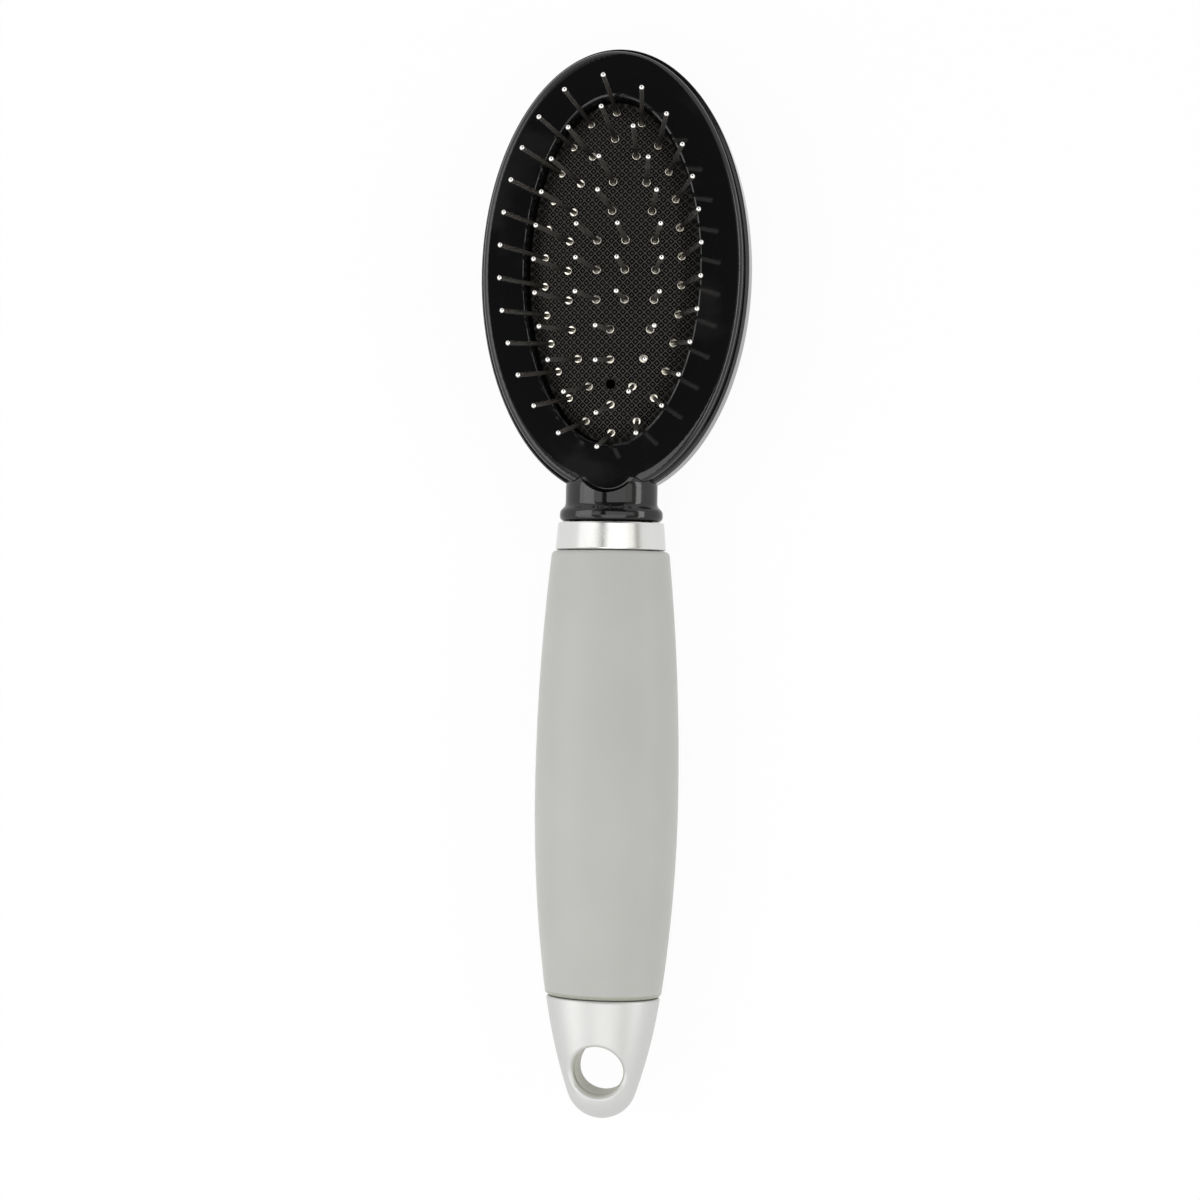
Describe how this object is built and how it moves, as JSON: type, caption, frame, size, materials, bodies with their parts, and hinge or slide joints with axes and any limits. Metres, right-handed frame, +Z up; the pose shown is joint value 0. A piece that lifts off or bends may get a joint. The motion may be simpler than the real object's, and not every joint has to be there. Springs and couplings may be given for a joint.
{
  "type": "hair grooming brush",
  "caption": "Oval cushion hair brush with steel pins in a flexing rubber dome, a black bezel head, a soft gel grip, a silver collar and a silver tail cap with a hanging hole.",
  "frame": {"origin": "centre of the brush's footprint, on the surface that it lies on, with its pins up", "axes": "+Y along the brush towards the head, +Z up out of the cushion along the pins, +X across"},
  "size_m": [0.0577, 0.2265, 0.0339],
  "materials": {
    "black_gloss": "gloss",
    "cushion_rubber": "matte",
    "core_plastic": "matte",
    "grip_gel": "matte",
    "satin_silver": "satin",
    "pin_steel": "polished"
  },
  "bodies": {
    "brush_body": {"head_back_shell": "black_gloss", "head_bezel": "black_gloss", "cushion": "cushion_rubber", "handle_core": "core_plastic", "grip_sleeve": "grip_gel", "neck_collar": "satin_silver", "tail_cap": "satin_silver"},
    "crown_pins": {"centre_pins_02": "pin_steel", "centre_pins_03": "pin_steel", "centre_pins_04": "pin_steel", "centre_pins_05": "pin_steel", "centre_pins_06": "pin_steel"},
    "upper_pins": {"middle_pins_04": "pin_steel", "middle_pins_05": "pin_steel", "middle_pins_06": "pin_steel", "middle_pins_07": "pin_steel", "middle_pins_08": "pin_steel", "centre_pins_01": "pin_steel", "centre_pins_07": "pin_steel"},
    "middle_slope_pins": {"middle_pins_02": "pin_steel", "middle_pins_03": "pin_steel", "middle_pins_09": "pin_steel", "middle_pins_10": "pin_steel"},
    "side_pins": {"outer_pins_05": "pin_steel", "outer_pins_06": "pin_steel", "outer_pins_07": "pin_steel", "outer_pins_08": "pin_steel", "outer_pins_09": "pin_steel", "outer_pins_10": "pin_steel", "middle_pins_01": "pin_steel", "middle_pins_11": "pin_steel"},
    "lower_pins": {"outer_pins_03": "pin_steel", "outer_pins_04": "pin_steel", "outer_pins_11": "pin_steel", "outer_pins_12": "pin_steel"},
    "rim_pins": {"outer_pins_01": "pin_steel", "outer_pins_02": "pin_steel", "outer_pins_13": "pin_steel", "outer_pins_14": "pin_steel"}
  },
  "joints": [
    {"name": "crown_pins_press", "type": "slide", "parent": "brush_body", "child": "crown_pins", "axis": [0, 0, -1], "range_m": [0, 0.0028], "stiffness_N_per_m": 400, "deforming": ["cushion"]},
    {"name": "upper_pins_press", "type": "slide", "parent": "brush_body", "child": "upper_pins", "axis": [0, 0, -1], "range_m": [0, 0.0022], "stiffness_N_per_m": 400},
    {"name": "middle_slope_pins_press", "type": "slide", "parent": "brush_body", "child": "middle_slope_pins", "axis": [0, 0, -1], "range_m": [0, 0.0017], "stiffness_N_per_m": 400},
    {"name": "side_pins_press", "type": "slide", "parent": "brush_body", "child": "side_pins", "axis": [0, 0, -1], "range_m": [0, 0.00113], "stiffness_N_per_m": 400},
    {"name": "lower_pins_press", "type": "slide", "parent": "brush_body", "child": "lower_pins", "axis": [0, 0, -1], "range_m": [0, 0.0008], "stiffness_N_per_m": 400},
    {"name": "rim_pins_press", "type": "slide", "parent": "brush_body", "child": "rim_pins", "axis": [0, 0, -1], "range_m": [0, 0.00048], "stiffness_N_per_m": 400}
  ],
  "couplings": [
    {"joint": "upper_pins_press", "follows": "crown_pins_press", "ratio": 0.7794},
    {"joint": "middle_slope_pins_press", "follows": "crown_pins_press", "ratio": 0.5998},
    {"joint": "side_pins_press", "follows": "crown_pins_press", "ratio": 0.3981},
    {"joint": "lower_pins_press", "follows": "crown_pins_press", "ratio": 0.2786},
    {"joint": "rim_pins_press", "follows": "crown_pins_press", "ratio": 0.1648}
  ]
}
